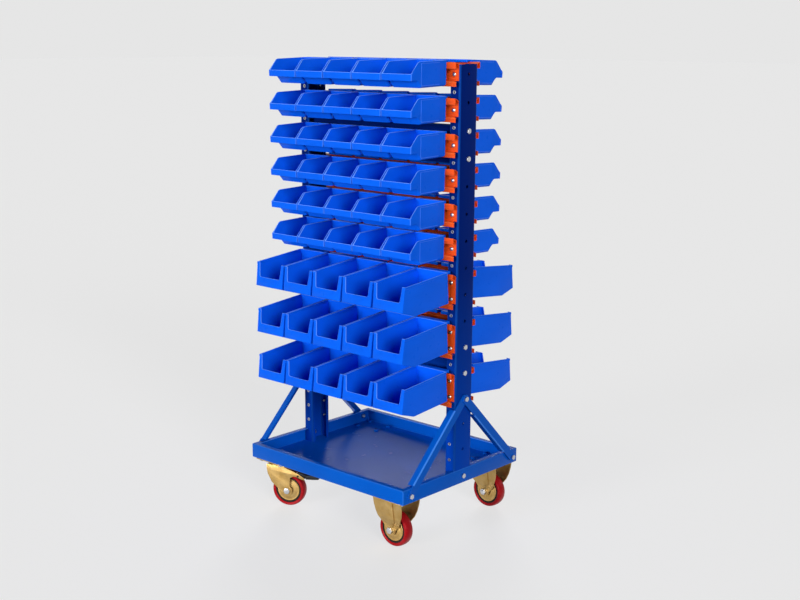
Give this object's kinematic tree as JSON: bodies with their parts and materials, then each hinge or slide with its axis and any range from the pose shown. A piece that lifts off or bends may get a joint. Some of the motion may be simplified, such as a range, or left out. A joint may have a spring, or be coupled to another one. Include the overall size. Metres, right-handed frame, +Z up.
{
  "type": "bin trolley",
  "caption": "Two-sided trolley of hung plastic bins on bent rails between two posts, over a low tray on fixed and braked swivel casters.",
  "frame": {"origin": "on the floor, under the centre of the overall box", "axes": "+Z up, +X along the rows towards the fixed casters, -Y towards the front rows"},
  "size_m": [0.623, 0.5, 1.2958],
  "materials": {
    "frame_paint": "satin",
    "post_paint": "satin",
    "rail_paint": "gloss",
    "bin_plastic": "satin",
    "gold_zinc": "satin",
    "bright_steel": "satin",
    "black_plastic": "matte",
    "red_tyre": "satin"
  },
  "bodies": {
    "frame": {"tray": "frame_paint", "left_post": "post_paint", "right_post": "post_paint", "upper_tie": "post_paint", "lower_tie": "post_paint", "left_front_brace": "frame_paint", "left_rear_brace": "frame_paint", "right_front_brace": "frame_paint", "right_rear_brace": "frame_paint", "brace_washers": "bright_steel", "frame_bolts": "bright_steel", "tie_bolts": "bright_steel", "rail_screws": "bright_steel", "caster_bolts": "bright_steel", "front_small_rails": "rail_paint", "rear_small_rails": "rail_paint", "front_large_rails": "rail_paint", "rear_large_rails": "rail_paint", "right_front_fork": "gold_zinc", "right_rear_fork": "gold_zinc", "fixed_axles": "bright_steel", "swivel_plates": "gold_zinc", "king_bolts": "bright_steel"},
    "right_front_wheel": {"right_front_core": "black_plastic", "right_front_tyre": "red_tyre", "right_front_discs": "gold_zinc"},
    "right_rear_wheel": {"right_rear_core": "black_plastic", "right_rear_tyre": "red_tyre", "right_rear_discs": "gold_zinc"},
    "left_front_swivel": {"left_front_fork": "gold_zinc", "left_front_axle": "bright_steel"},
    "left_front_wheel": {"left_front_core": "black_plastic", "left_front_tyre": "red_tyre", "left_front_discs": "gold_zinc"},
    "left_front_brake": {"left_front_pedal": "black_plastic"},
    "left_rear_swivel": {"left_rear_fork": "gold_zinc", "left_rear_axle": "bright_steel"},
    "left_rear_wheel": {"left_rear_core": "black_plastic", "left_rear_tyre": "red_tyre", "left_rear_discs": "gold_zinc"},
    "left_rear_brake": {"left_rear_pedal": "black_plastic"},
    "front_row_1": {"front_row_1": "bin_plastic"},
    "front_row_2": {"front_row_2": "bin_plastic"},
    "front_row_3": {"front_row_3": "bin_plastic"},
    "front_row_4": {"front_row_4": "bin_plastic"},
    "front_row_5": {"front_row_5": "bin_plastic"},
    "front_row_6": {"front_row_6": "bin_plastic"},
    "front_row_7": {"front_row_7": "bin_plastic"},
    "front_row_8": {"front_row_8": "bin_plastic"},
    "front_row_9": {"front_row_9": "bin_plastic"},
    "rear_row_1": {"rear_row_1": "bin_plastic"},
    "rear_row_2": {"rear_row_2": "bin_plastic"},
    "rear_row_3": {"rear_row_3": "bin_plastic"},
    "rear_row_4": {"rear_row_4": "bin_plastic"},
    "rear_row_5": {"rear_row_5": "bin_plastic"},
    "rear_row_6": {"rear_row_6": "bin_plastic"},
    "rear_row_7": {"rear_row_7": "bin_plastic"},
    "rear_row_8": {"rear_row_8": "bin_plastic"},
    "rear_row_9": {"rear_row_9": "bin_plastic"}
  },
  "joints": [
    {"name": "right_front_wheel_spin", "type": "hinge", "parent": "frame", "child": "right_front_wheel", "pos_m": [0.236, -0.205, 0.05], "axis": [0, 1, 0], "continuous": true},
    {"name": "right_rear_wheel_spin", "type": "hinge", "parent": "frame", "child": "right_rear_wheel", "pos_m": [0.236, 0.205, 0.05], "axis": [0, 1, 0], "continuous": true},
    {"name": "left_front_swivel_turn", "type": "hinge", "parent": "frame", "child": "left_front_swivel", "pos_m": [-0.236, -0.205, 0.141], "axis": [0, 0, 1], "continuous": true},
    {"name": "left_front_wheel_spin", "type": "hinge", "parent": "left_front_swivel", "child": "left_front_wheel", "pos_m": [-0.20337, -0.18979, 0.05], "axis": [-0.4226, 0.9063, 0], "continuous": true},
    {"name": "left_front_brake_press", "type": "hinge", "parent": "left_front_swivel", "child": "left_front_brake", "pos_m": [-0.17256, -0.17542, 0.09823], "axis": [-0.4226, 0.9063, 0], "range_deg": [0, 20]},
    {"name": "left_rear_swivel_turn", "type": "hinge", "parent": "frame", "child": "left_rear_swivel", "pos_m": [-0.236, 0.205, 0.141], "axis": [0, 0, 1], "continuous": true},
    {"name": "left_rear_wheel_spin", "type": "hinge", "parent": "left_rear_swivel", "child": "left_rear_wheel", "pos_m": [-0.2, 0.205, 0.05], "axis": [0, 1, 0], "continuous": true},
    {"name": "left_rear_brake_press", "type": "hinge", "parent": "left_rear_swivel", "child": "left_rear_brake", "pos_m": [-0.166, 0.205, 0.09823], "axis": [0, 1, 0], "range_deg": [0, 20]},
    {"name": "front_row_1_lift", "type": "slide", "parent": "frame", "child": "front_row_1", "axis": [0, -0.0314, 0.9995], "range_m": [0, 0.018]},
    {"name": "front_row_2_lift", "type": "slide", "parent": "frame", "child": "front_row_2", "axis": [0, -0.0314, 0.9995], "range_m": [0, 0.018]},
    {"name": "front_row_3_lift", "type": "slide", "parent": "frame", "child": "front_row_3", "axis": [0, -0.0314, 0.9995], "range_m": [0, 0.018]},
    {"name": "front_row_4_lift", "type": "slide", "parent": "frame", "child": "front_row_4", "axis": [0, -0.0314, 0.9995], "range_m": [0, 0.018]},
    {"name": "front_row_5_lift", "type": "slide", "parent": "frame", "child": "front_row_5", "axis": [0, -0.0314, 0.9995], "range_m": [0, 0.018]},
    {"name": "front_row_6_lift", "type": "slide", "parent": "frame", "child": "front_row_6", "axis": [0, -0.0314, 0.9995], "range_m": [0, 0.018]},
    {"name": "front_row_7_lift", "type": "slide", "parent": "frame", "child": "front_row_7", "axis": [0, -0.0958, 0.9954], "range_m": [0, 0.018]},
    {"name": "front_row_8_lift", "type": "slide", "parent": "frame", "child": "front_row_8", "axis": [0, -0.0958, 0.9954], "range_m": [0, 0.018]},
    {"name": "front_row_9_lift", "type": "slide", "parent": "frame", "child": "front_row_9", "axis": [0, -0.0958, 0.9954], "range_m": [0, 0.018]},
    {"name": "rear_row_1_lift", "type": "slide", "parent": "frame", "child": "rear_row_1", "axis": [0, 0.0314, 0.9995], "range_m": [0, 0.018]},
    {"name": "rear_row_2_lift", "type": "slide", "parent": "frame", "child": "rear_row_2", "axis": [0, 0.0314, 0.9995], "range_m": [0, 0.018]},
    {"name": "rear_row_3_lift", "type": "slide", "parent": "frame", "child": "rear_row_3", "axis": [0, 0.0314, 0.9995], "range_m": [0, 0.018]},
    {"name": "rear_row_4_lift", "type": "slide", "parent": "frame", "child": "rear_row_4", "axis": [0, 0.0314, 0.9995], "range_m": [0, 0.018]},
    {"name": "rear_row_5_lift", "type": "slide", "parent": "frame", "child": "rear_row_5", "axis": [0, 0.0314, 0.9995], "range_m": [0, 0.018]},
    {"name": "rear_row_6_lift", "type": "slide", "parent": "frame", "child": "rear_row_6", "axis": [0, 0.0314, 0.9995], "range_m": [0, 0.018]},
    {"name": "rear_row_7_lift", "type": "slide", "parent": "frame", "child": "rear_row_7", "axis": [0, 0.0958, 0.9954], "range_m": [0, 0.018]},
    {"name": "rear_row_8_lift", "type": "slide", "parent": "frame", "child": "rear_row_8", "axis": [0, 0.0958, 0.9954], "range_m": [0, 0.018]},
    {"name": "rear_row_9_lift", "type": "slide", "parent": "frame", "child": "rear_row_9", "axis": [0, 0.0958, 0.9954], "range_m": [0, 0.018]}
  ]
}
